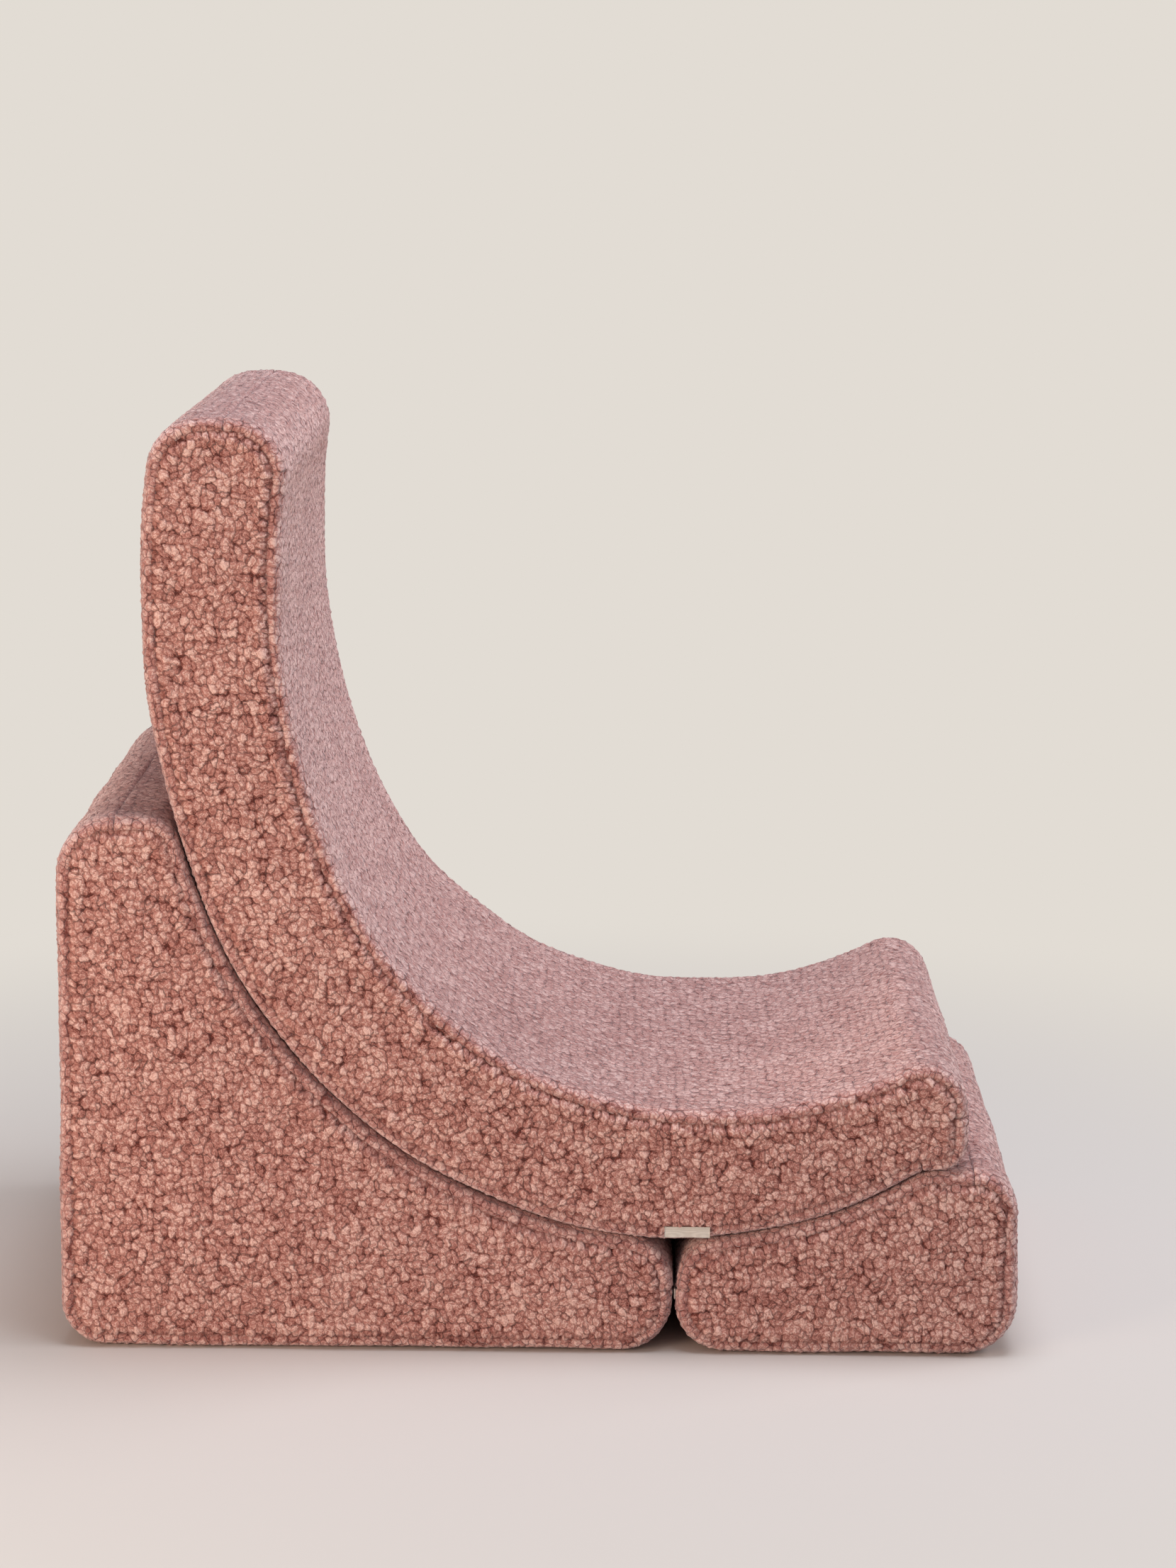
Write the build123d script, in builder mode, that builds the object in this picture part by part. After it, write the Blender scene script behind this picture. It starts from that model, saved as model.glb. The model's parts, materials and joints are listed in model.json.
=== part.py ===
from build123d import *
import os
from math import asin, cos, degrees, radians, sin, sqrt

os.makedirs("parts", exist_ok=True)

# Children's armchair of three loose foam modules in zip-off looped-pile covers:
# a crescent, called the moon here, lies in the cradles of a rear and a front wedge.
# Millimetres, Z up, the sitter faces -Y, the origin is on the floor under the middle.

# Whole chair
chair_width = 470.0
chair_height = 722.0
low_point_to_back = 475.0  # from the moon's lowest point to the chair's rear face
low_point_to_front = 265.0  # from the moon's lowest point to the chair's front face
low_point_height = 91.0
module_gap = 0.3  # between a wedge's cradle and the moon
toe_gap = 2.4  # between the toes of the two wedges

# Moon: three tangent arcs outside, three inside
seat_outer_radius = 350.0
seat_outer_turn = 19.0  # degrees from the lowest point back to the bend
bend_outer_radius = 410.0
bend_turn = 50.0  # degrees
back_outer_radius = 690.0
moon_thickness = 106.0
sitting_radius = 330.0
sitting_turn = 16.0  # degrees
front_arc_turn = 60.0  # degrees that the seat's arcs run forward, past the nose
nose_ledge = 33.63  # from the knee at the front wedge's lip forward to the nose
nose_seam_height = 190.0
back_top_round = 44.0
nose_top_round = 34.0
nose_under_round = 22.0

# Rear wedge
rear_wedge_height = 418.0
rear_crest_round = 45.0
rear_lip_round = 25.0
rear_heel_round = 35.0
rear_crest_seam = 45.0  # from the rear face forward to the seam across the crest

# Front wedge
front_wedge_height = 147.0
front_lip_round = 30.0
front_crest_round = 35.0
front_heel_round = 40.0
front_crest_seam = 35.0  # from the front face back to the seam across the crest

# Toes of both wedges
toe_top_round = 38.0
toe_foot_round = 40.0
toe_seam_height = 50.0

# Covers
cover_thickness = 8.0
cover_ease = 0.3  # between the foam and its cover
edge_round = 12.0
seam_inset = 10.5  # from a module's outline in to the seam of its side panels

# Zips, let into a slot of the cover
zip_end_inset = 65.0  # from the chair's side in to the end of a zip's chain
zip_tape_end = 22.0
zip_slot_width = 24.0
zip_slot_round = 3.0
zip_slot_clearance = 0.3
zip_running_gap = 0.3
cut_margin = 0.5  # how far a cutting block reaches past the face that it opens
tape_thickness = 0.8
tape_slit = 2.0
bead_width = 2.4
bead_height = 2.0
bead_slit = 1.4
bead_round = 0.6
stop_length = 3.0
stop_height = 2.4
stop_round = 0.6
rear_zip_height = 48.0
moon_zip_height = 478.0
front_zip_to_front = 130.0

# Zip slider and pull tab
slider_length = 10.5
shoulder_flare = 0.5  # how far the slider's shoulders stand out past its tail, each side
wing_thickness = 1.1
wing_round = 1.0
flange_width = 0.7
neck_length = 2.4
neck_setback = 0.6
crown_length = 7.8
crown_width = 2.4
crown_strap = 1.1
crown_round = 1.5
tab_gap = 0.4
tab_length = 25.0
tab_width = 7.0
tab_thickness = 1.2
tab_eye_length = 3.8
tab_eye_width = 3.2
tab_end_round = 2.5
tab_grip_length = 9.0
tab_grip_width = 2.6

# Woven labels, bare
label_length = 35.0
label_drop = 8.0
label_thickness = 0.8
label_clearance = 0.3
moon_label_offset = 9.5  # from the lowest point forward to the label's middle
toe_label_inset = 8.0  # from the chair's side in to the label
toe_label_height = 46.0

# Derived places, as (forward, up) in the chair's side view
chair_length = low_point_to_back + low_point_to_front
low_x = low_point_to_back - chair_length / 2
rear_x = -chair_length / 2
front_x = chair_length / 2
nose_under_height = front_wedge_height + module_gap
knee_drop = low_point_height + seat_outer_radius - nose_under_height
nose_reach = sqrt(seat_outer_radius**2 - knee_drop**2) + nose_ledge
nose_x = low_x + nose_reach
side_x = chair_width / 2
side_plane = Plane(origin=(0, 0, 0), x_dir=(0, -1, 0), z_dir=(-1, 0, 0))
beyond = 2 * chair_length
bottom_angle = 270.0
bend_start = bottom_angle - seat_outer_turn
back_start = bend_start - bend_turn
sitting_start = bottom_angle - sitting_turn
arcs_front_angle = bottom_angle + front_arc_turn


def stepped(point, distance, angle):
    """A point moved by a distance along an angle in degrees."""
    turn = radians(angle)
    return (point[0] + distance * cos(turn), point[1] + distance * sin(turn))


seat_centre = (low_x, low_point_height + seat_outer_radius)
bend_centre = stepped(seat_centre, seat_outer_radius - bend_outer_radius, bend_start)
back_centre = stepped(bend_centre, bend_outer_radius - back_outer_radius, back_start)
bend_inner_radius = bend_outer_radius - moon_thickness
sitting_centre = stepped(bend_centre, bend_inner_radius - sitting_radius, sitting_start)


def top_angle(radius):
    """Angle at which an arc about the back's centre passes above the chair's top."""
    rise = chair_height + moon_thickness - back_centre[1]
    return 180 - degrees(asin(rise / radius))


def outer_arcs(clearance):
    """Arcs of the moon's outer line from the top of the back to the nose, pushed out."""
    back_radius = back_outer_radius + clearance
    return [
        (back_centre, back_radius, top_angle(back_radius), back_start),
        (bend_centre, bend_outer_radius + clearance, back_start, bend_start),
        (seat_centre, seat_outer_radius + clearance, bend_start, arcs_front_angle),
    ]


def inner_arcs():
    """Arcs of the moon's inner line, one thickness inside until the seat thins forward."""
    back_radius = back_outer_radius - moon_thickness
    return [
        (back_centre, back_radius, top_angle(back_radius), back_start),
        (bend_centre, bend_inner_radius, back_start, sitting_start),
        (sitting_centre, sitting_radius, sitting_start, arcs_front_angle),
    ]


def room_above(arcs):
    """Face above and ahead of a chain of arcs."""
    with BuildSketch() as room:
        with BuildLine():
            rim = [CenterArc(centre, radius, start, end - start) for centre, radius, start, end in arcs]
            rear_top = rim[0] @ 0
            front_end = rim[-1] @ 1
            front_top = (front_end.X, rear_top.Y)
            Line(front_end, front_top)
            Line(front_top, rear_top)
        make_face()
    return room.sketch


def save(piece, name):
    """Label a finished piece and write it to its own file."""
    piece.part.label = name
    export_step(piece.part, f"parts/{name}.step")


# Outlines of the three modules
with BuildSketch(side_plane) as moon_outline:
    add(room_above(outer_arcs(0)))
    with Locations((nose_x, nose_under_height)):
        Rectangle(nose_reach, moon_thickness, align=(Align.MAX, Align.MIN))
    add(room_above(inner_arcs()), mode=Mode.SUBTRACT)
    with Locations((nose_x, 0)):
        Rectangle(beyond, chair_height, align=(Align.MAX, Align.MIN), mode=Mode.INTERSECT)
    knee = vertices().filter_by_position(Axis.Y, nose_under_height - 0.01, nose_under_height + 0.01)
    fillet(knee.sort_by(Axis.X)[0], front_lip_round)
    fillet(vertices().group_by(Axis.X)[-1].sort_by(Axis.Y)[0], nose_under_round)
    fillet(vertices().group_by(Axis.X)[-1].sort_by(Axis.Y)[-1], nose_top_round)
    fillet(vertices().group_by(Axis.Y)[-1], min(back_top_round, 0.45 * moon_thickness))

with BuildSketch(side_plane) as rear_outline:
    with Locations((rear_x, 0)):
        Rectangle(
            low_point_to_back - toe_gap / 2, rear_wedge_height, align=(Align.MIN, Align.MIN)
        )
    add(room_above(outer_arcs(module_gap)), mode=Mode.SUBTRACT)
    fillet(vertices().group_by(Axis.Y)[-1].sort_by(Axis.X)[-1], rear_lip_round)
    fillet(vertices().group_by(Axis.Y)[-1].sort_by(Axis.X)[0], rear_crest_round)
    fillet(vertices().group_by(Axis.X)[-1].sort_by(Axis.Y)[-1], toe_top_round)
    fillet(vertices().group_by(Axis.Y)[0].sort_by(Axis.X)[-1], toe_foot_round)
    fillet(vertices().group_by(Axis.Y)[0].sort_by(Axis.X)[0], rear_heel_round)

with BuildSketch(side_plane) as front_outline:
    with Locations((front_x, 0)):
        Rectangle(
            low_point_to_front - toe_gap / 2, front_wedge_height, align=(Align.MAX, Align.MIN)
        )
    add(room_above(outer_arcs(module_gap)), mode=Mode.SUBTRACT)
    fillet(vertices().group_by(Axis.Y)[-1].sort_by(Axis.X)[0], front_lip_round)
    fillet(vertices().group_by(Axis.Y)[-1].sort_by(Axis.X)[-1], front_crest_round)
    fillet(vertices().group_by(Axis.X)[0].sort_by(Axis.Y)[-1], toe_top_round)
    fillet(vertices().group_by(Axis.Y)[0].sort_by(Axis.X)[0], toe_foot_round)
    fillet(vertices().group_by(Axis.Y)[0].sort_by(Axis.X)[-1], front_heel_round)

# Faces that cover what each band takes of its cover; the base band has the rest
with BuildSketch(side_plane) as moon_sitting_side:
    add(room_above(outer_arcs(-moon_thickness / 2)))
    with Locations((low_x + nose_reach / 2, nose_seam_height)):
        Rectangle(nose_reach, moon_thickness, align=(Align.MIN, Align.MIN))

with BuildSketch(side_plane) as moon_nose_side:
    with Locations((nose_x - nose_ledge, nose_seam_height)):
        Rectangle(nose_reach, chair_height, align=(Align.MIN, Align.MAX))

with BuildSketch(side_plane) as rear_cradle_side:
    with Locations((rear_x + rear_crest_seam, toe_seam_height)):
        Rectangle(beyond, chair_height, align=(Align.MIN, Align.MIN))

with BuildSketch(side_plane) as front_cradle_side:
    with Locations((front_x - front_crest_seam, toe_seam_height)):
        Rectangle(beyond, chair_height, align=(Align.MAX, Align.MIN))


def prism(outline, inset, half_width):
    """An outline drawn in by an inset and extruded to both sides of the chair."""
    with BuildPart() as block:
        with BuildSketch(side_plane):
            add(outline.sketch_local)
            if inset:
                offset(amount=-inset)
        extrude(amount=half_width, both=True)
    return block.part


def padded_form(outline):
    """A module's outline over the whole width, with its side edges rounded."""
    with BuildPart() as form:
        add(prism(outline, 0, side_x))
        sides = faces().sort_by(Axis.X)
        fillet(sides[0].edges() + sides[-1].edges(), edge_round)
    return form.part


def zip_place(point, forward, up):
    """Plane on a cover at a side-view point, x along the zip, z out of the cover."""
    return Plane(origin=(0, -point[0], point[1]), x_dir=(1, 0, 0), z_dir=(0, -forward, up))


moon_zip_turn = asin((moon_zip_height - back_centre[1]) / back_outer_radius)
moon_zip_angle = 180 - degrees(moon_zip_turn)
moon_zip_point = stepped(back_centre, back_outer_radius, moon_zip_angle)
moon_zip_normal = stepped((0, 0), 1, moon_zip_angle)
zip_places = {
    "moon": zip_place(moon_zip_point, moon_zip_normal[0], moon_zip_normal[1]),
    "rear_wedge": zip_place((rear_x, rear_zip_height), -1, 0),
    "front_wedge": zip_place((front_x - front_zip_to_front, 0), 0, -1),
}
zip_chain_length = chair_width - 2 * zip_end_inset
zip_slot_length = zip_chain_length + 2 * zip_tape_end
tail_width = bead_slit + 2 * (bead_width + zip_running_gap + flange_width)
shoulder_width = tail_width + 2 * shoulder_flare
tape_top = -cover_thickness + tape_thickness
bead_top = tape_top + bead_height
wing_under = bead_top + zip_running_gap
wing_top = wing_under + wing_thickness
tab_under = wing_top + tab_gap
pivot_height = tab_under + tab_thickness / 2
crown_under = tab_under + tab_thickness + tab_gap
lower_wing_top = -cover_thickness - zip_running_gap
lower_wing_under = lower_wing_top - wing_thickness
groove_depth = cover_thickness + wing_thickness + 2 * zip_running_gap
groove_width = shoulder_width + 4 * zip_running_gap
slider_rest = -zip_chain_length / 2 + slider_length / 2 + zip_running_gap


def zip_slot(place):
    """Room that a zip's slot takes out of the cover."""
    with BuildPart() as slot:
        with BuildSketch(place.offset(cut_margin)):
            RectangleRounded(zip_slot_length, zip_slot_width, zip_slot_round)
        extrude(amount=-cover_thickness - 2 * cut_margin)
    return slot.part


def zip_groove(place):
    """Groove in the foam under a zip, for the lower wing of its slider."""
    with BuildPart() as groove:
        with BuildSketch(place):
            RectangleRounded(zip_chain_length + 2 * stop_length, groove_width, wing_round)
        extrude(amount=-groove_depth)
    return groove.part


def label_pocket():
    """Shallow pocket in the moon's right lower edge that the woven label lies in."""
    with BuildPart() as pocket:
        with BuildSketch(Plane(origin=(-side_x, 0, 0), x_dir=(0, -1, 0), z_dir=(-1, 0, 0))):
            with Locations((low_x + moon_label_offset, low_point_height + seam_inset)):
                Rectangle(label_length + 2 * label_clearance, 2 * (label_drop + label_clearance))
        extrude(amount=-label_thickness - label_clearance)
    return pocket.part


def make_module(name, outline, bands):
    """Foam core, two side panels and the bands of one module's cover."""
    form = padded_form(outline)
    hollow = prism(outline, cover_thickness, side_x - cover_thickness)
    side_prism = prism(outline, seam_inset, chair_width)
    band_prisms = {band: prism(side, 0, chair_width) for band, side in bands}
    place = zip_places[name]
    foam_inset = cover_thickness + cover_ease

    with BuildPart() as foam_core:
        add(prism(outline, foam_inset, side_x - foam_inset))
        add(zip_groove(place), mode=Mode.SUBTRACT)
    save(foam_core, f"{name}_foam_core")

    for side, kept in (("right", Keep.BOTTOM), ("left", Keep.TOP)):
        with BuildPart() as side_panel:
            add(form)
            add(hollow, mode=Mode.SUBTRACT)
            add(side_prism, mode=Mode.INTERSECT)
            split(bisect_by=Plane.YZ, keep=kept)
        save(side_panel, f"{name}_{side}_side_panel")

    for band_name, band_prism in band_prisms.items():
        with BuildPart() as band:
            add(form)
            add(hollow, mode=Mode.SUBTRACT)
            add(side_prism, mode=Mode.SUBTRACT)
            add(band_prism, mode=Mode.INTERSECT)
        save(band, f"{name}_{band_name}")

    with BuildPart() as base_band:
        add(form)
        add(hollow, mode=Mode.SUBTRACT)
        add(side_prism, mode=Mode.SUBTRACT)
        add(band_prisms.values(), mode=Mode.SUBTRACT)
        add(zip_slot(place), mode=Mode.SUBTRACT)
        if name == "moon":
            add(label_pocket(), mode=Mode.SUBTRACT)
    save(base_band, f"{name}_base_band")


def make_zip(name):
    """Tapes, chain and end stops of a zip, with its slider and pull tab at the closed end."""
    place = zip_places[name]
    across = Plane(origin=place.origin, x_dir=place.y_dir, z_dir=place.x_dir)
    along = Plane(origin=place.origin, x_dir=place.x_dir, z_dir=-place.y_dir)
    bead_middle = (bead_slit + bead_width) / 2
    chain_end = zip_chain_length / 2 + stop_length / 2

    with BuildPart() as tapes:
        with BuildSketch(place.offset(-cover_thickness)):
            RectangleRounded(
                zip_slot_length - 2 * zip_slot_clearance,
                zip_slot_width - 2 * zip_slot_clearance,
                zip_slot_round - zip_slot_clearance,
            )
            Rectangle(zip_slot_length, tape_slit, mode=Mode.SUBTRACT)
        extrude(amount=tape_thickness)
    save(tapes, f"{name}_zip_tapes")

    with BuildPart() as chain:
        with BuildSketch(across):
            with Locations(
                (-bead_middle, tape_top + bead_height / 2), (bead_middle, tape_top + bead_height / 2)
            ):
                RectangleRounded(bead_width, bead_height, bead_round)
        extrude(amount=zip_chain_length / 2, both=True)
    save(chain, f"{name}_zip_chain")

    with BuildPart() as stops:
        with BuildSketch(place.offset(tape_top)):
            with Locations((-chain_end, -bead_middle), (-chain_end, bead_middle)):
                RectangleRounded(stop_length, bead_width, stop_round)
            with Locations((chain_end, 0)):
                RectangleRounded(stop_length, 2 * bead_width + bead_slit, stop_round)
        extrude(amount=stop_height)
    save(stops, f"{name}_zip_stops")

    with BuildPart() as slider:
        for height in (wing_under, lower_wing_under):
            with BuildSketch(place.offset(height)):
                with BuildLine():
                    Polyline(
                        (slider_rest - slider_length / 2, -shoulder_width / 2),
                        (slider_rest, -shoulder_width / 2),
                        (slider_rest + slider_length / 2, -tail_width / 2),
                        (slider_rest + slider_length / 2, tail_width / 2),
                        (slider_rest, shoulder_width / 2),
                        (slider_rest - slider_length / 2, shoulder_width / 2),
                        close=True,
                    )
                make_face()
                fillet(vertices().group_by(Axis.X)[0] + vertices().group_by(Axis.X)[-1], wing_round)
            extrude(amount=wing_thickness)
        with BuildSketch(place.offset(tape_top + zip_running_gap)):
            flange_middle = (tail_width - flange_width) / 2
            with Locations((slider_rest, -flange_middle), (slider_rest, flange_middle)):
                Rectangle(slider_length - 2 * wing_round, flange_width)
        extrude(amount=wing_under - tape_top - zip_running_gap)
        with BuildSketch(place.offset(lower_wing_top)):
            with Locations((slider_rest - (slider_length - neck_length) / 2 + neck_setback, 0)):
                Rectangle(neck_length, bead_slit - 2 * zip_running_gap)
        extrude(amount=wing_under - lower_wing_top)
        with BuildSketch(along):
            with Locations((slider_rest, wing_top)):
                Rectangle(
                    crown_length, crown_under + crown_strap - wing_top, align=(Align.CENTER, Align.MIN)
                )
                fillet(vertices().group_by(Axis.Y)[-1], crown_round)
                Rectangle(
                    crown_length - 2 * crown_strap,
                    crown_under - wing_top,
                    align=(Align.CENTER, Align.MIN),
                    mode=Mode.SUBTRACT,
                )
        extrude(amount=crown_width / 2, both=True)
    save(slider, f"{name}_zip_slider")

    with BuildPart() as pull_tab:
        with BuildSketch(place.offset(tab_under)):
            with Locations((slider_rest, 0)):
                Rectangle(
                    tab_length - tab_thickness / 2, tab_width, align=(Align.MIN, Align.CENTER)
                )
                fillet(vertices().group_by(Axis.X)[-1], tab_end_round)
                Rectangle(
                    tab_thickness / 2 + tab_eye_length,
                    tab_eye_width,
                    align=(Align.MIN, Align.CENTER),
                    mode=Mode.SUBTRACT,
                )
            with Locations((slider_rest + tab_length - tab_grip_length, 0)):
                SlotOverall(tab_grip_length, tab_grip_width, mode=Mode.SUBTRACT)
        extrude(amount=tab_thickness)
        with BuildSketch(along):
            with Locations((slider_rest, pivot_height)):
                Circle(tab_thickness / 2)
        extrude(amount=tab_width / 2, both=True)
    save(pull_tab, f"{name}_zip_pull_tab")


modules = (
    ("moon", moon_outline, (("seat_band", moon_sitting_side), ("nose_band", moon_nose_side))),
    ("rear_wedge", rear_outline, (("cradle_band", rear_cradle_side),)),
    ("front_wedge", front_outline, (("cradle_band", front_cradle_side),)),
)
for module_name, module_outline, module_bands in modules:
    make_module(module_name, module_outline, module_bands)
    make_zip(module_name)

with BuildPart() as moon_label:
    with BuildSketch(Plane(origin=(-side_x, 0, 0), x_dir=(0, -1, 0), z_dir=(-1, 0, 0))):
        with Locations((low_x + moon_label_offset, low_point_height + seam_inset)):
            Rectangle(label_length, label_drop, align=(Align.CENTER, Align.MAX))
    extrude(amount=-label_thickness)
save(moon_label, "moon_label")

with BuildPart() as front_wedge_label:
    toe_face = -(low_x + toe_gap / 2) + label_clearance
    with BuildSketch(Plane(origin=(-side_x, toe_face, 0), x_dir=(1, 0, 0), z_dir=(0, -1, 0))):
        with Locations((toe_label_inset, toe_label_height)):
            Rectangle(label_length, label_drop, align=(Align.MIN, Align.CENTER))
    extrude(amount=-label_thickness)
save(front_wedge_label, "front_wedge_label")
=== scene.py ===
import json
import math

import bpy
import numpy as np
from mathutils import Matrix, Vector
from mathutils.kdtree import KDTree


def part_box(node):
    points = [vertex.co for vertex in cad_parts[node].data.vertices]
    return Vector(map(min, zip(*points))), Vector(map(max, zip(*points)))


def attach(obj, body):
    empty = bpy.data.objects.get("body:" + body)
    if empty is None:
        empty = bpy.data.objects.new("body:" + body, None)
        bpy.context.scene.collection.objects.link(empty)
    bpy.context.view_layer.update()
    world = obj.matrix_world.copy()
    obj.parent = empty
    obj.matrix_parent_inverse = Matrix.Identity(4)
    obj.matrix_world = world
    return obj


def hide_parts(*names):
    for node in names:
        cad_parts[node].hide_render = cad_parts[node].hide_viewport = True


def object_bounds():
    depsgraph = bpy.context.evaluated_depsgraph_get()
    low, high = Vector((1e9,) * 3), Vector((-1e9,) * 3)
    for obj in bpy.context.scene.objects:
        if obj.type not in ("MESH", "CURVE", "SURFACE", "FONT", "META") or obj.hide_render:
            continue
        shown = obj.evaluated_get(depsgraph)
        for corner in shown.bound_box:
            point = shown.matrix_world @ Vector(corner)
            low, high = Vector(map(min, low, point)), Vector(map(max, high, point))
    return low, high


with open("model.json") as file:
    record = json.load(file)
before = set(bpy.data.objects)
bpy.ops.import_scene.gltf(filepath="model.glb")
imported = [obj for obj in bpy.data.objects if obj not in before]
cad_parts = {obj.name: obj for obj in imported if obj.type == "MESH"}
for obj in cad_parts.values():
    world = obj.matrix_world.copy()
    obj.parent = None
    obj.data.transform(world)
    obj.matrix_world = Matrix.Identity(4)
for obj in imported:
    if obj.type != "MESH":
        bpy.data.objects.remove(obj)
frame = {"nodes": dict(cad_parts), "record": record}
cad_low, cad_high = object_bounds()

# Sizes of the chair in metres, in its side view as (forward, up)
chair_width = cad_high.x - cad_low.x
chair_height = cad_high.z
side_x = chair_width / 2
rear_x = -cad_high.y
front_x = -cad_low.y
low_point_to_back = 0.475
low_x = rear_x + low_point_to_back
low_point_height = 0.091
module_gap = 0.0003
toe_gap = 0.0024

# The moon's arcs and rounds, with its turns and angles in degrees
seat_outer_radius = 0.350
seat_outer_turn = 19.0
bend_outer_radius = 0.410
bend_turn = 50.0
back_outer_radius = 0.690
moon_thickness = 0.106
sitting_radius = 0.330
sitting_turn = 16.0
nose_ledge = 0.03363
nose_seam_height = 0.190
top_seam_angle = 169.4
back_top_round = 0.044
nose_top_round = 0.034
nose_under_round = 0.022

# The wedges' heights, rounds and seams
rear_wedge_height = 0.418
rear_crest_round = 0.045
rear_lip_round = 0.025
rear_heel_round = 0.035
rear_crest_seam = 0.045
front_wedge_height = 0.147
front_lip_round = 0.030
front_crest_round = 0.035
front_heel_round = 0.040
front_crest_seam = 0.035
toe_top_round = 0.038
toe_foot_round = 0.040
toe_seam_height = 0.050

# The covers
cover_thickness = 0.008
edge_round = 0.012
seam_inset = 0.0105
panel_inset = 0.0108
rim_depth = 0.0075
seam_sink = 0.0030
seam_reach = 0.0030
seam_parting = 0.0002
seam_ragged = 0.0022
end_seam_ease = 0.0035
rim_overhang = 0.0024
overhang_reach = 0.0045
hem_reach = 0.004
lip_evenness = 0.35
floor_clear = 0.0002
panel_crown = 0.0030
crown_reach = 0.045
swell_length = 0.14
ridge_from_seam = 0.006
ridge_reach = 0.004

# How the curls lie: their wander, the mix of round ball and sharp crease, and how even they stand
curl_jitter = 0.85
wide_wander = 0.3
close_wander = 0.13
ball_share = 0.6
modelled_ball_reach = 0.86
painted_ball_reach = 0.80
crease_power = 2.6
curl_evenness = 0.64
swirl_size = 1.6

# How finely the cloth is modelled, and where its unseen faces lie on its map
most_faces = 97000
outline_step = 0.0002
table_size = 307
shown_map_width = 0.985
hidden_map_middle = 0.993

# The zips
zip_slot_width = 0.024
zip_slot_length = 0.384
zip_chain_length = 0.340
rear_zip_height = 0.048
moon_zip_height = 0.478
front_zip_to_front = 0.130
coil_pitch = 0.0015
coil_wire_radius = 0.00036
coil_middle = 0.0019
coil_half_width = 0.00084
coil_half_height = 0.00064
coil_depth = -0.0062

# The woven labels
label_length = 0.035
label_drop = 0.008
label_thickness = 0.0008
moon_label_forward = low_x + 0.0095
label_slack = 0.0015
pocket_inset = 0.002
label_stand_off = 0.001
label_tuck = 0.0005
label_bulge = 0.0016


# Outlines in the side view


def unit(degrees):
    """Direction at an angle in the side view."""
    turn = math.radians(degrees)
    return np.array([math.cos(turn), math.sin(turn)])


def left_of(direction):
    """Direction a quarter turn to the left."""
    return np.array([-direction[1], direction[0]])


def cross(a, b):
    """How far b turns left of a, times their lengths."""
    return a[0] * b[1] - a[1] * b[0]


class Straight:
    """A straight stretch of an outline, walked along its heading."""

    def __init__(self, point, heading):
        self.point = np.array(point, float)
        self.along = unit(heading)
        self.heading = heading

    def shifted(self, distance):
        """The same stretch, moved to its left."""
        return Straight(self.point + distance * left_of(self.along), self.heading)

    def heading_at(self, point):
        """Direction of travel, the same all along."""
        return self.along

    def nearest(self, point):
        """The line's point nearest to another."""
        return self.point + self.along * ((point - self.point) @ self.along)

    def walk(self, start, end):
        """Points and headings from start to end."""
        count = int(np.linalg.norm(end - start) / outline_step) + 2
        share = np.linspace(0, 1, count)[:, None]
        return start + (end - start) * share, np.tile(self.along, (count, 1))


class Arc:
    """An arc of an outline: turn is 1 where it bulges out and -1 where it is hollow."""

    def __init__(self, centre, radius, turn):
        self.centre = np.array(centre, float)
        self.radius = radius
        self.turn = turn

    def shifted(self, distance):
        """The same arc, moved towards the foam."""
        return Arc(self.centre, self.radius - distance * self.turn, self.turn)

    def heading_at(self, point):
        """Direction of travel beside a point."""
        spoke = (point - self.centre) / np.linalg.norm(point - self.centre)
        return self.turn * left_of(spoke)

    def nearest(self, point):
        """The circle's point nearest to another."""
        spoke = (point - self.centre) / np.linalg.norm(point - self.centre)
        return self.centre + self.radius * spoke

    def walk(self, start, end):
        """Points and headings from start to end."""
        first = math.atan2(*(start - self.centre)[::-1])
        last = math.atan2(*(end - self.centre)[::-1])
        sweep = (last - first) * self.turn % (2 * math.pi) * self.turn
        count = int(abs(sweep) * self.radius / outline_step) + 2
        angles = first + sweep * np.linspace(0, 1, count)
        spokes = np.stack([np.cos(angles), np.sin(angles)], 1)
        headings = self.turn * np.stack([-spokes[:, 1], spokes[:, 0]], 1)
        return self.centre + self.radius * spokes, headings


def crossings(a, b):
    """Points where two stretches meet, one of them straight."""
    if isinstance(a, Straight) and isinstance(b, Straight):
        reach = cross(b.point - a.point, b.along) / cross(a.along, b.along)
        return [a.point + reach * a.along]
    line, arc = (a, b) if isinstance(a, Straight) else (b, a)
    foot = line.nearest(arc.centre)
    half = math.sqrt(arc.radius**2 - np.sum((foot - arc.centre) ** 2))
    return [foot - half * line.along, foot + half * line.along]


def meeting(a, b, side):
    """Where an outline turns from a to b, to the left where side is 1."""
    for point in crossings(a, b):
        if side * cross(a.heading_at(point), b.heading_at(point)) > 0:
            return point
    raise ValueError("two stretches of an outline do not meet")


def smooth_joint(a, b):
    """Where one arc runs on into the next."""
    apart = (b.centre - a.centre) * np.sign(a.radius - b.radius)
    return a.centre + a.radius * apart / np.linalg.norm(apart)


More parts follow.
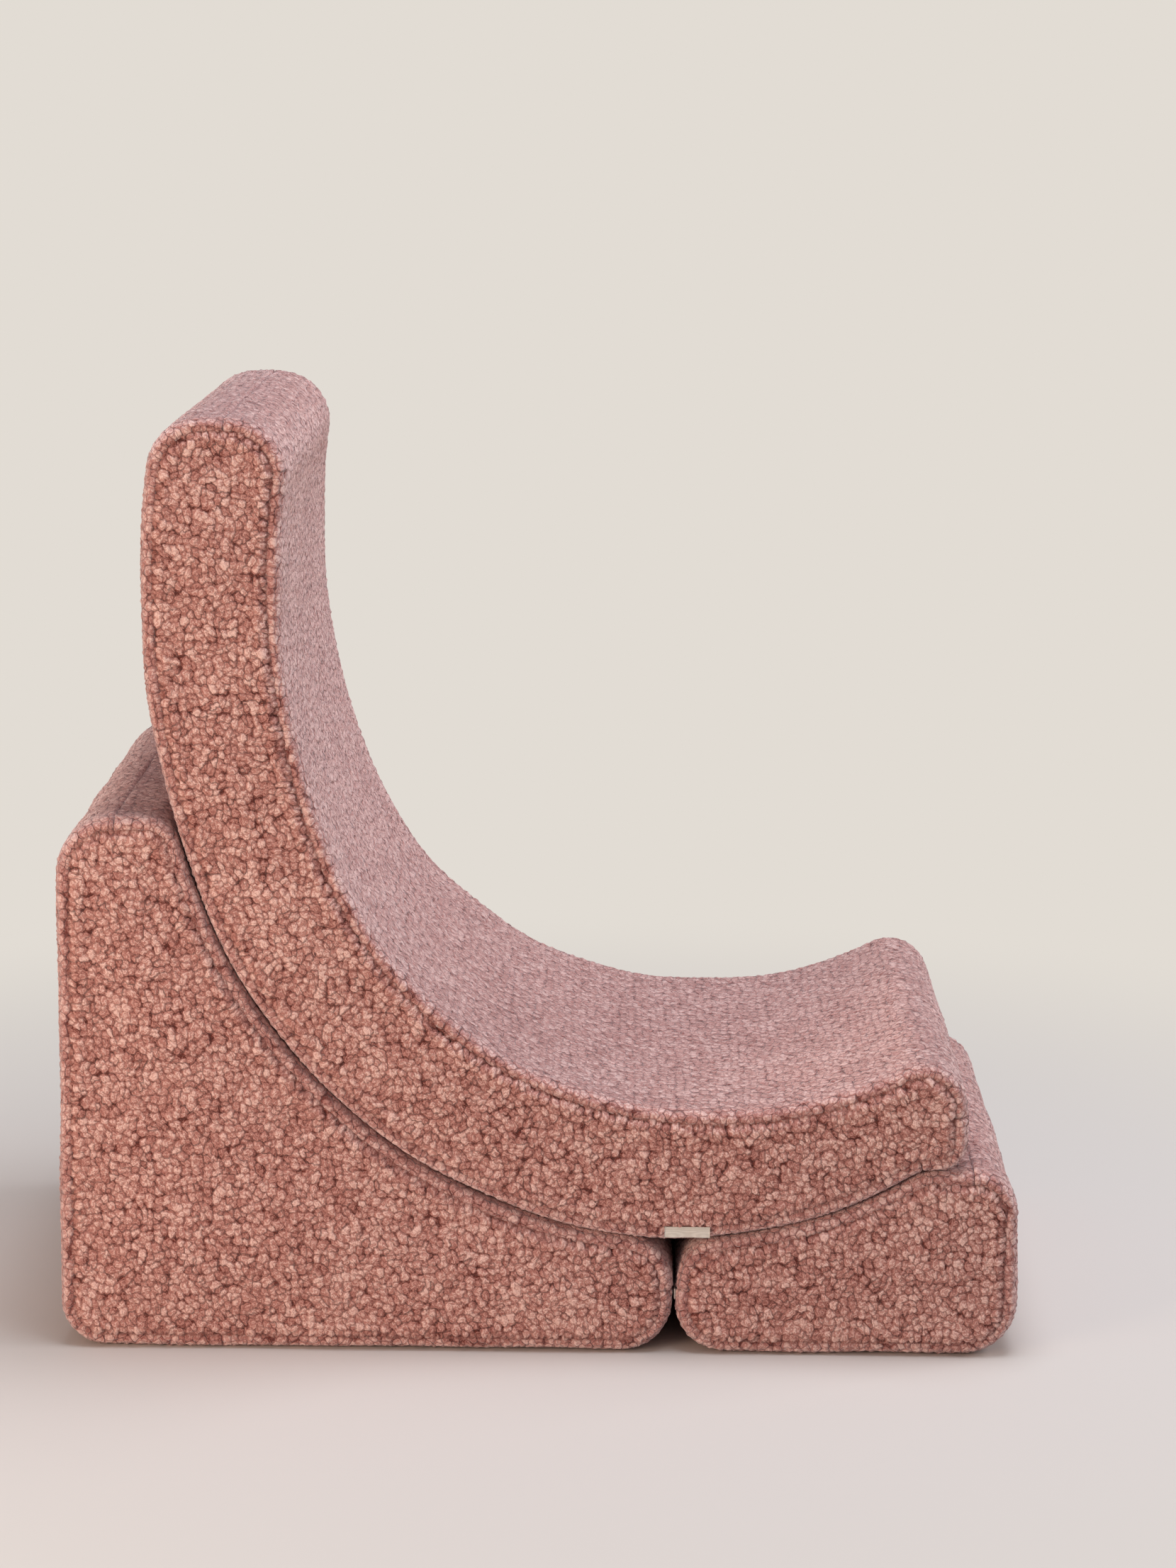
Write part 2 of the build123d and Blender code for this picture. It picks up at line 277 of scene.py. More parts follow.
class Outline:
    """A closed outline, walked with the foam on its left."""

    def __init__(self, stretches):
        runs = [run for run, radius, side in stretches]
        joints = []
        for i, (run, radius, side) in enumerate(stretches):
            after = runs[(i + 1) % len(runs)]
            if radius:
                centre = meeting(run.shifted(side * radius), after.shifted(side * radius), side)
                joints.append((run.nearest(centre), Arc(centre, radius, side), after.nearest(centre)))
            else:
                point = smooth_joint(run, after)
                joints.append((point, None, point))
        walked = []
        for i, run in enumerate(runs):
            leave, rounding, enter = joints[i]
            walked.append(run.walk(joints[i - 1][2], leave))
            if rounding:
                walked.append(rounding.walk(leave, enter))
        self.points = np.concatenate([points[:-1] for points, headings in walked])
        headings = np.concatenate([headings[:-1] for points, headings in walked])
        self.normals = np.stack([headings[:, 1], -headings[:, 0]], 1)
        lengths = np.linalg.norm(np.roll(self.points, -1, axis=0) - self.points, axis=1)
        self.reach = np.concatenate([[0], np.cumsum(lengths)[:-1]])
        self.length = float(lengths.sum())

    def where(self, forward, up):
        """How far along the outline its nearest point lies."""
        return float(self.reach[np.argmin(np.sum((self.points - (forward, up)) ** 2, axis=1))])

    def at(self, distances):
        """Points and outward normals at distances along the outline."""
        reach = np.append(self.reach, self.length)
        found = []
        for table in (self.points, self.normals):
            closed = np.vstack([table, table[:1]])
            columns = [np.interp(np.mod(distances, self.length), reach, closed[:, k]) for k in (0, 1)]
            found.append(np.stack(columns, 1))
        return found[0], found[1] / np.linalg.norm(found[1], axis=1)[:, None]

    def gap_to(self, others, points):
        """Distance from each point to the nearest of the other outlines."""
        near = np.full(len(points), np.inf)
        for other in others:
            for point in np.array_split(other.points, 40):
                apart = np.linalg.norm(points[:, None, :] - point[None, :, :], axis=2)
                near = np.minimum(near, apart.min(1))
        return near


bottom_angle = 270.0
bend_start = bottom_angle - seat_outer_turn
back_start = bend_start - bend_turn
seat_centre = np.array([low_x, low_point_height + seat_outer_radius])
bend_centre = seat_centre + (seat_outer_radius - bend_outer_radius) * unit(bend_start)
back_centre = bend_centre + (bend_outer_radius - back_outer_radius) * unit(back_start)
bend_inner_radius = bend_outer_radius - moon_thickness
back_inner_radius = back_outer_radius - moon_thickness
sitting_start = bottom_angle - sitting_turn
sitting_centre = bend_centre + (bend_inner_radius - sitting_radius) * unit(sitting_start)
nose_under_height = front_wedge_height + module_gap
knee_drop = seat_centre[1] - nose_under_height
knee_x = low_x + math.sqrt(seat_outer_radius**2 - knee_drop**2)
nose_x = knee_x + nose_ledge

# The crescent: its outer arcs, the knee, the nose and the hollow sitting side
moon = Outline(
    [
        (Arc(back_centre, back_outer_radius, 1), 0, 0),
        (Arc(bend_centre, bend_outer_radius, 1), 0, 0),
        (Arc(seat_centre, seat_outer_radius, 1), front_lip_round, -1),
        (Straight((nose_x, nose_under_height), 0), nose_under_round, 1),
        (Straight((nose_x, 0), 90), nose_top_round, 1),
        (Arc(sitting_centre, sitting_radius, -1), 0, 0),
        (Arc(bend_centre, bend_inner_radius, -1), 0, 0),
        (Arc(back_centre, back_inner_radius, -1), back_top_round, 1),
        (Straight((0, chair_height), 180), back_top_round, 1),
    ]
)

# The rear wedge: floor, toe, hollow cradle, lip, crest and rear face
rear_wedge = Outline(
    [
        (Straight((0, 0), 0), toe_foot_round, 1),
        (Straight((low_x - toe_gap / 2, 0), 90), toe_top_round, 1),
        (Arc(seat_centre, seat_outer_radius + module_gap, -1), 0, 0),
        (Arc(bend_centre, bend_outer_radius + module_gap, -1), 0, 0),
        (Arc(back_centre, back_outer_radius + module_gap, -1), rear_lip_round, 1),
        (Straight((0, rear_wedge_height), 180), rear_crest_round, 1),
        (Straight((rear_x, 0), 270), rear_heel_round, 1),
    ]
)

# The front wedge: floor, front face, top, hollow cradle and toe
front_wedge = Outline(
    [
        (Straight((0, 0), 0), front_heel_round, 1),
        (Straight((front_x, 0), 90), front_crest_round, 1),
        (Straight((0, front_wedge_height), 180), front_lip_round, 1),
        (Arc(seat_centre, seat_outer_radius + module_gap, -1), toe_top_round, 1),
        (Straight((low_x + toe_gap / 2, 0), 270), toe_foot_round, 1),
    ]
)


# Looped pile


def waves(a, b, size, seed, count=7):
    """Slow swells over a plane, mostly between -1 and 1."""
    draw = np.random.default_rng(seed)
    total = np.zeros_like(a)
    for turn, phase, stretch in draw.random((count, 3)) * (2 * math.pi, 2 * math.pi, 1):
        length = size * (0.6 + 0.9 * stretch)
        total += np.sin((a * math.cos(turn) + b * math.sin(turn)) * 2 * math.pi / length + phase)
    return total / math.sqrt(2 * count)


def curls(a, b, spacing, seed):
    """Round curls over a plane: height from 0 to 1, tint, and place inside the curl."""
    warped_a = a + wide_wander * spacing * waves(a, b, 5 * spacing, seed + 1)
    warped_b = b + wide_wander * spacing * waves(a, b, 5 * spacing, seed + 2)
    warped_a += close_wander * spacing * waves(a, b, spacing, seed + 4)
    warped_b += close_wander * spacing * waves(a, b, spacing, seed + 5)
    table = np.random.default_rng(seed).random((table_size, table_size, 5))
    row = np.floor(warped_a / spacing).astype(int)
    column = np.floor(warped_b / spacing).astype(int)
    near = np.full(a.shape, np.inf)
    next_near = np.full(a.shape, np.inf)
    lift = np.zeros_like(a)
    tint = np.zeros_like(a)
    inside = np.zeros(a.shape + (2,))
    for row_step in (-1, 0, 1):
        for column_step in (-1, 0, 1):
            draw = table[(row + row_step) % table_size, (column + column_step) % table_size]
            centre_a = row + row_step + 0.5 + curl_jitter * (draw[..., 0] - 0.5)
            centre_b = column + column_step + 0.5 + curl_jitter * (draw[..., 1] - 0.5)
            apart_a = warped_a / spacing - centre_a
            apart_b = warped_b / spacing - centre_b
            distance = np.hypot(apart_a, apart_b) / (0.75 + 0.5 * draw[..., 2])
            nearer = distance < near
            next_near = np.where(nearer, near, np.minimum(next_near, distance))
            near = np.where(nearer, distance, near)
            lift = np.where(nearer, draw[..., 3], lift)
            tint = np.where(nearer, draw[..., 4], tint)
            inside[nearer] = np.stack([apart_a, apart_b], -1)[nearer]
    ball = np.sqrt(np.clip(1 - (near / modelled_ball_reach) ** 2, 0, 1))
    parted = np.sqrt(np.clip(1 - (near / next_near) ** crease_power, 0, 1))
    dome = ball_share * ball + (1 - ball_share) * parted
    return dome * (curl_evenness + (1 - curl_evenness) * lift), tint, swirl_size * inside


def soft_bumps(a, b, spacing, seed):
    """Low bumps from 0 to 1, for a cloth whose curls are painted."""
    return np.clip(0.5 + 0.35 * waves(a, b, spacing, seed, 11), 0, 1)


def lay_pile(cloth, a, b, from_seam):
    """How far the cloth stands out of the plain form, how high its pile is, and its marks."""
    if cloth["modelled"]:
        height, tint, inside = curls(a, b, cloth["spacing"], cloth["seed"])
        marks = {"pile": height, "tint": tint, "curl": np.concatenate([inside, tint[..., None]], -1)}
    else:
        height = soft_bumps(a, b, cloth["spacing"], cloth["seed"])
        marks = {"lay": np.stack([a, b + cloth["seed"], np.zeros_like(a)], -1)}
    ragged = np.clip(from_seam + seam_ragged * (height - 0.6), 0, None)
    free = 1 - np.exp(-((ragged / seam_reach) ** 2))
    # The seam mark is 1 at a seam. The cloth's finish paints shade into the groove there.
    marks["seam"] = 1 - free
    pile = cloth["relief"] * (height - 0.5)
    swell = cloth["swell"] * waves(a, b, swell_length, cloth["seed"] + 3)
    ridge = cloth["ridge"] * np.exp(-(((from_seam - ridge_from_seam) / ridge_reach) ** 2))
    stand = pile * (0.3 + 0.7 * free) + (swell + ridge) * free - seam_sink * (1 - free)
    return stand, height, marks


# Meshes


def quads_of(grid):
    """Faces between the neighbours of a grid of corners."""
    return np.stack([grid[:-1, :-1], grid[:-1, 1:], grid[1:, 1:], grid[1:, :-1]], -1)


def make_piece(name, points, faces, hidden, flat_map, marks):
    """A mesh from groups of faces. Hidden groups share a strip beside the laid-flat map."""
    mesh = bpy.data.meshes.new(name)
    totals = np.concatenate([np.full(len(group), group.shape[1]) for group in faces])
    corners = np.concatenate([group.ravel() for group in faces])
    starts = np.concatenate([[0], np.cumsum(totals)[:-1]])
    mesh.vertices.add(len(points))
    mesh.vertices.foreach_set("co", np.asarray(points, np.float32).ravel())
    mesh.loops.add(len(corners))
    mesh.loops.foreach_set("vertex_index", corners.astype(np.int32))
    mesh.polygons.add(len(totals))
    mesh.polygons.foreach_set("loop_start", starts.astype(np.int32))
    mesh.polygons.foreach_set("use_smooth", np.ones(len(totals), bool))
    mesh.update(calc_edges=True)
    unseen = np.concatenate([np.full(len(group), aside) for group, aside in zip(faces, hidden)])
    unseen = np.repeat(unseen, totals)[:, None]
    corner_in_face = np.arange(len(corners)) - np.repeat(starts, totals)
    angle = 2 * math.pi * corner_in_face / np.repeat(totals, totals)
    strip = np.stack([hidden_map_middle + 0.003 * np.cos(angle), 0.5 + 0.4 * np.sin(angle)], 1)
    laid = np.where(unseen, strip, flat_map[corners] * (shown_map_width, 1))
    mesh.uv_layers.new(name="OFBake").uv.foreach_set("vector", laid.astype(np.float32).ravel())
    for mark, values in marks.items():
        kind, field = ("FLOAT_VECTOR", "vector") if values.ndim == 2 else ("FLOAT", "value")
        attribute = mesh.attributes.new(mark, kind, "POINT")
        attribute.data.foreach_set(field, values.astype(np.float32).ravel())
    piece = bpy.data.objects.new(name, mesh)
    bpy.context.scene.collection.objects.link(piece)
    return piece


def stepped(first, last, step, stops=()):
    """Even steps from first to last, with the nearest ones moved onto the stops."""
    values = np.linspace(first, last, max(2, int(round((last - first) / step)) + 1))
    for stop in stops:
        values[np.argmin(np.abs(values - stop))] = stop
    return values


def band_profile(step, stops):
    """Lines of cloth across a band: inset, side place, lean of the normal and way across."""
    seam_turn = math.acos(1 - seam_inset / edge_round)
    flat_half = side_x - edge_round
    turns = np.linspace(seam_turn, 0, int(seam_turn * edge_round / step) + 2)[:-1]
    flat = stepped(-flat_half, flat_half, step, stops)
    lean = np.concatenate([-turns, np.zeros(len(flat)), turns[::-1]])
    folded = edge_round * turns
    across = np.concatenate([-flat_half - folded, flat, flat_half + folded[::-1]])
    inset = edge_round * (1 - np.cos(lean))
    side = np.clip(across, -flat_half, flat_half) + edge_round * np.sin(lean)
    return inset, side, lean, across


def slot_walls(index, lines, rows_in, lines_in):
    """Walls of a zip's slot, from its edge on the cloth down to the cloth's back."""
    low_row, high_row = rows_in[0], rows_in[-1] + 1
    low_line, high_line = lines_in[0], lines_in[-1] + 1
    near, far = index[low_row:high_row], index[low_row + 1 : high_row + 1]
    back_low, back_high = lines + 2, lines + 3
    short = [
        np.stack([far[:, low_line], near[:, low_line], near[:, back_low], far[:, back_low]], 1),
        np.stack([near[:, high_line], far[:, high_line], far[:, back_high], near[:, back_high]], 1),
    ]
    first = list(index[low_row, low_line : high_line + 1])
    first += [index[low_row, back_high], index[low_row, back_low]]
    last = list(index[high_row, low_line : high_line + 1][::-1])
    last += [index[high_row, back_low], index[high_row, back_high]]
    return short + [np.array([first]), np.array([last])]


def make_band(name, outline, others, ends, cloth, slot_at=None, pocket=None):
    """A band of the cover, wrapped over both edges of its module between two seams."""
    first, last = ends
    last += outline.length if last < first else 0
    first, last = first + seam_parting, last - seam_parting
    step = max(cloth["step"], math.sqrt((last - first) * chair_width / most_faces))
    slot_rows, slot_lines = (), ()
    if slot_at is not None:
        slot_at += outline.length if slot_at < first else 0
        slot_rows = (slot_at - zip_slot_width / 2, slot_at + zip_slot_width / 2)
        slot_lines = (-zip_slot_length / 2, zip_slot_length / 2)
    along = stepped(first, last, step, slot_rows)
    inset, side, lean, across = band_profile(step, slot_lines)
    ground, normal = outline.at(along)
    rows, lines = len(along), len(across)
    s, v = np.meshgrid(along, across, indexing="ij")
    from_end = np.minimum(s - first, last - s) * 1.5 + end_seam_ease
    from_seam = np.minimum(across[-1] - np.abs(v), from_end)
    stand, height, marks = lay_pile(cloth, s, v, from_seam)
    if slot_at is not None:
        away_along = np.abs(s - slot_at) - zip_slot_width / 2
        away_across = np.abs(v) - zip_slot_length / 2
        stand = stand * np.clip(np.maximum(away_along, away_across) / hem_reach, 0, 1)
    if pocket is not None:
        stand = np.where(pocket(ground[:, None, :], inset, side), -2 * label_thickness, stand)
    lifted = np.cos(lean)
    room = outline.gap_to(others, ground)[:, None] / 2 + inset[None, :]
    room = room * (lip_evenness + (1 - lip_evenness) * height)
    stand = np.minimum(stand, room / np.maximum(lifted, 0.2) - floor_clear)
    out = (stand * lifted - inset)[..., None]
    place = ground[:, None, :] + normal[:, None, :] * out
    x = side + np.sin(lean) * stand
    skin = np.stack([x, -place[..., 0], np.maximum(place[..., 1], floor_clear)], -1)

    back_x = side_x - cover_thickness
    backs = [(-back_x, seam_inset), (-back_x, cover_thickness)]
    backs += [(back_x, cover_thickness), (back_x, seam_inset)]
    if slot_at is not None:
        backs[2:2] = [(slot_lines[0], cover_thickness), (slot_lines[1], cover_thickness)]
    lining = []
    for back, depth in backs:
        place = ground - normal * depth
        lining.append(np.stack([np.full(rows, back), -place[:, 0], place[:, 1]], 1))
    points = np.concatenate([skin, np.stack(lining, 1)], 1)
    ring = points.shape[1]
    index = np.arange(rows * ring).reshape(rows, ring)
    skin_faces = quads_of(index[:, :lines])
    under = np.concatenate([index[:, lines - 1 : lines], index[:, lines:][:, ::-1], index[:, :1]], 1)
    under_faces = quads_of(under)
    hidden_faces = [index[:1, ::-1], index[-1:]]
    skin_kept = np.ones(skin_faces.shape[:2], bool)
    under_kept = np.ones(under_faces.shape[:2], bool)
    if slot_at is not None:
        middle_row = (along[:-1] + along[1:]) / 2
        middle_line = (across[:-1] + across[1:]) / 2
        rows_in = np.flatnonzero(np.abs(middle_row - slot_at) < zip_slot_width / 2)
        lines_in = np.flatnonzero(np.abs(middle_line) < zip_slot_length / 2)
        skin_kept[np.ix_(rows_in, lines_in)] = False
        under_kept[rows_in, 3] = False
        hidden_faces += slot_walls(index, lines, rows_in, lines_in)
    faces = [skin_faces[skin_kept], under_faces[under_kept]] + hidden_faces
    hidden = [False] + [True] * (len(faces) - 1)
    flat_map = np.zeros((rows, ring, 2))
    flat_map[:, :lines, 0] = (s - first) / (last - first)
    flat_map[:, :lines, 1] = (v - across[0]) / (across[-1] - across[0])
    whole = {}
    for mark, values in marks.items():
        spread = np.zeros((rows, ring) + values.shape[2:])
        spread[:, :lines] = values
        whole[mark] = spread.reshape((-1,) + values.shape[2:])
    return make_piece(name, points.reshape(-1, 3), faces, hidden, flat_map.reshape(-1, 2), whole)


def rim_run(cells):
    """The closed run of edges that bounds a patch of faces, in order."""
    first = cells.ravel().tolist()
    second = np.roll(cells, -1, axis=1).ravel().tolist()
    there = set(zip(first, second))
    onward = {a: b for a, b in there if (b, a) not in there}
    start = min(onward)
    run = [start]
    while onward[run[-1]] != start:
        run.append(onward[run[-1]])
    if len(run) != len(onward):
        raise ValueError("a side panel has more than one rim")
    return np.array(run)


def make_panel(name, outline, side, cloth):
    """A side panel, sewn in along its rim and softly crowned."""
    ground, normal = outline.at(np.arange(0, outline.length, outline_step))
    rim = ground - normal * panel_inset
    area = abs(np.sum(cross(rim.T, np.roll(rim, -1, axis=0).T))) / 2
    step = max(cloth["step"], math.sqrt(area / most_faces))
    tree = KDTree(len(rim))
    for i, point in enumerate(rim):
        tree.insert((point[0], point[1], 0), i)
    tree.balance()
    low, high = rim.min(0) - 2 * step, rim.max(0) + 2 * step
    spans = [np.arange(low[k], high[k], step) for k in (0, 1)]
    grid = np.stack(np.meshgrid(*spans, indexing="ij"), -1)
    found = [tree.find((a, b, 0))[1] for a, b in grid.reshape(-1, 2).tolist()]
    nearest = np.array(found).reshape(grid.shape[:2])
    apart = grid - rim[nearest]
    inward = -np.sum(apart * normal[nearest], -1)
    distance = np.linalg.norm(apart, axis=-1) * np.sign(inward)
    within = distance > 0.4 * step
    place = np.where(within[..., None], grid, rim[nearest])
    distance = np.where(within, distance, 0)
    kept = within[:-1, :-1] | within[1:, :-1] | within[1:, 1:] | within[:-1, 1:]
    stand, height, marks = lay_pile(cloth, place[..., 0], place[..., 1], distance)
    stand += panel_crown * (1 - np.exp(-((distance / crown_reach) ** 2)))
    overhang = rim_overhang * height * np.exp(-((distance / overhang_reach) ** 2))
    leaning = place + normal[nearest] * overhang[..., None]
    skin = np.stack([side * (side_x + stand), -leaning[..., 0], leaning[..., 1]], -1).reshape(-1, 3)
    cells = quads_of(np.arange(within.size).reshape(within.shape))[kept]
    cells = cells if side > 0 else cells[:, ::-1]
    used = np.unique(cells)
    renumber = np.zeros(within.size, int)
    renumber[used] = np.arange(len(used))
    cells = renumber[cells]
    skin = skin[used]
    run = rim_run(cells)
    lining = skin[run].copy()
    lining[:, 0] = side * (side_x - rim_depth)
    back = len(skin) + np.arange(len(run))
    walls = np.stack([np.roll(run, -1), run, back, np.roll(back, -1)], 1)
    flat = (place.reshape(-1, 2)[used] - low) / (high - low)
    flat_map = np.concatenate([flat, np.zeros((len(run), 2))])
    whole = {}
    for mark, values in marks.items():
        shown = values.reshape((-1,) + values.shape[2:])[used]
        whole[mark] = np.concatenate([shown, shown[run]])
    faces = [cells, walls, back[None, ::-1]]
    return make_piece(name, np.concatenate([skin, lining]), faces, [False, True, True], flat_map, whole)


# Zips and labels


moon_zip_turn = math.asin((moon_zip_height - back_centre[1]) / back_outer_radius)
moon_zip_out = unit(180 - math.degrees(moon_zip_turn))

# Where each zip lies on its cover in the side view, and which way it faces
zip_places = {
    "moon": (back_centre + back_outer_radius * moon_zip_out, moon_zip_out),
    "rear_wedge": (np.array((rear_x, rear_zip_height)), np.array((-1, 0))),
    "front_wedge": (np.array((front_x - front_zip_to_front, 0)), np.array((0, -1))),
}


def make_coils(name, place):
    """The two coils of a zip, each one flattened spring along its tape."""
    point, out = place
    over = left_of(out)
    turns = int(zip_chain_length / coil_pitch)
    steps, sides = 10, 5
    t = np.arange(turns * steps + 1) / steps
    wire = 2 * math.pi * np.arange(sides) / sides
    points, faces, maps = [], [], []
    for hand in (-1, 1):
        angle = 2 * math.pi * t
        x = -zip_chain_length / 2 + zip_chain_length * t / turns
        over_path = hand * (coil_middle + coil_half_width * np.cos(angle))
        out_path = coil_depth + coil_half_height * np.sin(angle)
        path = np.stack([x, over_path, out_path], 1)
        ahead = np.gradient(path, axis=0)
        ahead /= np.linalg.norm(ahead, axis=1)[:, None]
        spread = np.cross(ahead, (1.0, 0.0, 0.0))
        spread /= np.linalg.norm(spread, axis=1)[:, None]
        third = np.cross(ahead, spread)
        round_wire = np.cos(wire)[:, None] * spread[:, None, :] + np.sin(wire)[:, None] * third[:, None, :]
        rings = path[:, None, :] + coil_wire_radius * round_wire
        flat = point + rings[..., 1:2] * over + rings[..., 2:3] * out
        start = sum(len(group) for group in points)
        points.append(np.stack([rings[..., 0], -flat[..., 0], flat[..., 1]], -1).reshape(-1, 3))
        index = start + np.arange(len(t) * sides).reshape(len(t), sides)
        faces.append(quads_of(np.concatenate([index, index[:, :1]], 1)).reshape(-1, 4)[:, ::-1])
        faces.append(np.stack([index[0], index[-1][::-1]]))
        row = np.stack(np.meshgrid(t / turns, np.arange(sides) / sides, indexing="ij"), -1)
        maps.append((row * (1, 0.45) + (0, 0.5 * (hand > 0))).reshape(-1, 2))
    hidden = [False, True, False, True]
    return make_piece(name, np.concatenate(points), faces, hidden, np.concatenate(maps), {})


def make_ribbon(name, corner, across, down, out, bulge):
    """A folded woven ribbon: it leaves its seam at the corner and hangs a little proud."""
    wide, tall = 29, 9
    u, w = np.meshgrid(np.linspace(0, 1, wide), np.linspace(0, 1, tall), indexing="ij")
    ripple = 0.0004 * np.sin(u * 9) * w
    bow = bulge * np.sin(math.pi * w * 0.62) + ripple
    half = label_thickness / 2 * np.sqrt(np.clip(1 - (w - 0.15) ** 8, 0.02, 1))
    middle = np.array(corner) + u[..., None] * np.array(across) + w[..., None] * np.array(down)
    front = middle + (bow + half)[..., None] * np.array(out)
    rear = middle + (bow - half)[..., None] * np.array(out)
    points = np.concatenate([front.reshape(-1, 3), rear.reshape(-1, 3)])
    index = np.arange(wide * tall).reshape(wide, tall)
    behind = index + wide * tall
    edge = np.concatenate([index[:, 0], index[-1, 1:], index[-2::-1, -1], index[0, -2:0:-1]])
    after = np.roll(edge, -1)
    walls = np.stack([edge, edge + wide * tall, after + wide * tall, after], 1)
    faces = [quads_of(index).reshape(-1, 4), walls, quads_of(behind).reshape(-1, 4)[:, ::-1]]
    flat_map = np.stack([u.ravel() * 0.48, w.ravel()], 1)
    flat_map = np.concatenate([flat_map, flat_map + (0.5, 0)])
    return make_piece(name, points, faces, [False, True, False], flat_map, {})


# Finishes


def linear(red, green, blue):
    """A colour seen on screen, given as 0 to 255, as a shader takes it."""
    channels = [channel / 255 for channel in (red, green, blue)]
    return tuple(c / 12.92 if c <= 0.04045 else ((c + 0.055) / 1.055) ** 2.4 for c in channels) + (1.0,)


class Value:
    """A socket in a finish; an expression on it adds the nodes that work it out."""

    def __init__(self, finish, socket):
        self.finish = finish
        self.socket = socket

    def other(self, output):
        """Another output of the same node."""
        return Value(self.finish, self.socket.node.outputs[output])

    def maths(self, operation, *values):
        """One sum on numbers or sockets."""
        return self.finish.node("ShaderNodeMath", {"operation": operation}, dict(enumerate(values)))

    def __add__(self, other):
        return self.maths("ADD", self, other)

    def __radd__(self, other):
        return self.maths("ADD", other, self)

    def __sub__(self, other):
        return self.maths("SUBTRACT", self, other)

    def __rsub__(self, other):
        return self.maths("SUBTRACT", other, self)

    def __mul__(self, other):
        return self.maths("MULTIPLY", self, other)

    def __rmul__(self, other):
        return self.maths("MULTIPLY", other, self)

    def __truediv__(self, other):
        return self.maths("DIVIDE", self, other)

    def __pow__(self, other):
        return self.maths("POWER", self, other)

    def sine(self):
        """Its sine, from radians."""
        return self.maths("SINE", self)

    def angle_to(self, across):
        """The turn whose rise is this value and whose run is the other."""
        return self.maths("ARCTAN2", self, across)

    def clamped(self):
        """The value held between 0 and 1."""
        return self.finish.node("ShaderNodeClamp", {}, {"Value": self})


class Finish:
    """A material or a world in the making."""

    def __init__(self, owner, output_kind="ShaderNodeOutputMaterial"):
        owner.use_nodes = True
        self.owner = owner
        self.output_kind = output_kind
        self.tree = owner.node_tree
        self.tree.nodes.clear()

    def node(self, kind, settings, inputs, output=0):
        """Add a node, set it up, feed its sockets and hand back one of its outputs."""
        made = self.tree.nodes.new(kind)
        for setting, value in settings.items():
            setattr(made, setting, value)
        for key, value in inputs.items():
            if isinstance(value, Value):
                self.tree.links.new(value.socket, made.inputs[key])
            else:
                made.inputs[key].default_value = value
        return Value(self, made.outputs[output])

    def mark(self, name, output="Fac"):
        """What the mesh says of a place."""
        return self.node("ShaderNodeAttribute", {"attribute_name": name}, {}, output)

    def place(self):
        """The place on the piece, in metres."""
        return self.node("ShaderNodeTexCoord", {}, {}, "Object")

    def noise(self, size, detail=2.0, distortion=0.0):
        """Cloudy noise with clouds of about this size."""
        inputs = {"Vector": self.place(), "Scale": 1 / size, "Detail": detail, "Distortion": distortion}
        return self.node("ShaderNodeTexNoise", {}, inputs)

    def arrange(self, operation, *vectors):
        """Vector maths."""
        return self.node("ShaderNodeVectorMath", {"operation": operation}, dict(enumerate(vectors)))

    def parts(self, vector):
        """The first two parts of a vector."""
        first = self.node("ShaderNodeSeparateXYZ", {}, {"Vector": vector})
        return first, first.other(1)

    def mix(self, factor, first, second):
        """A colour between two others."""
        return self.node("ShaderNodeMix", {"data_type": "RGBA"}, {0: factor, 6: first, 7: second}, 2)

    def between(self, low, high, value):
        """0 below low, 1 above high and smooth between."""
        inputs = {"Value": value, "From Min": low, "From Max": high}
        return self.node("ShaderNodeMapRange", {"interpolation_type": "SMOOTHSTEP"}, inputs)

    def bump(self, height, distance):
        """A normal that shows a height, given in units of a distance."""
        return self.node("ShaderNodeBump", {}, {"Height": height, "Distance": distance})

    def close(self, colour, normal, **sockets):
        """The shader and its output, with what stays the same all over on its own sockets."""
        inputs = {"Base Color": colour, "Normal": normal}
        inputs.update({name.replace("_", " "): value for name, value in sockets.items()})
        return self.surface(self.node("ShaderNodeBsdfPrincipled", {}, inputs))

    def surface(self, shader):
        """Send a shader to the output and hand back the finished material or world."""
        output = self.tree.nodes.new(self.output_kind)
        self.tree.links.new(shader.socket, output.inputs["Surface"])
        return self.owner


def new_finish(name):
    """A new material."""
    return Finish(bpy.data.materials.new(name))


def modelled_curls(cloth):
    """Height, tint and place inside the curl, as marked on the mesh."""
    return cloth.mark("pile"), cloth.mark("tint"), cloth.parts(cloth.mark("curl", "Vector"))


def painted_curls(cloth, spacing):
    """The same for a cloth whose curls are finer than its mesh."""
    lay = cloth.mark("lay", "Vector")
    for size, reach in ((5 * spacing, 0.5 * spacing), (spacing, 0.35 * spacing)):
        clouds = {"Vector": lay, "Scale": 1 / size, "Detail": 1.0}
        wander = cloth.node("ShaderNodeTexNoise", {}, clouds, 1)
        lay = cloth.arrange("MULTIPLY_ADD", wander, (reach, reach, 0), lay)
    near, next_near = [
        cloth.node(
            "ShaderNodeTexVoronoi",
            {"voronoi_dimensions": "2D", "feature": feature},
            {"Vector": lay, "Scale": 1 / spacing, "Randomness": curl_jitter},
        )
        for feature in ("F1", "F2")
    ]
    ball = (1 - (near / painted_ball_reach) ** 2).clamped() ** 0.5
    parted = (1 - (near / next_near) ** crease_power).clamped() ** 0.5
    lift = cloth.node("ShaderNodeSeparateColor", {}, {"Color": near.other("Color")})
    dome = ball * ball_share + parted * (1 - ball_share)
    height = dome * (lift * (1 - curl_evenness) + curl_evenness)
    apart = cloth.arrange("SUBTRACT", lay, near.other("Position"))
    return height, lift.other(1), [part * (swirl_size / spacing) for part in cloth.parts(apart)]


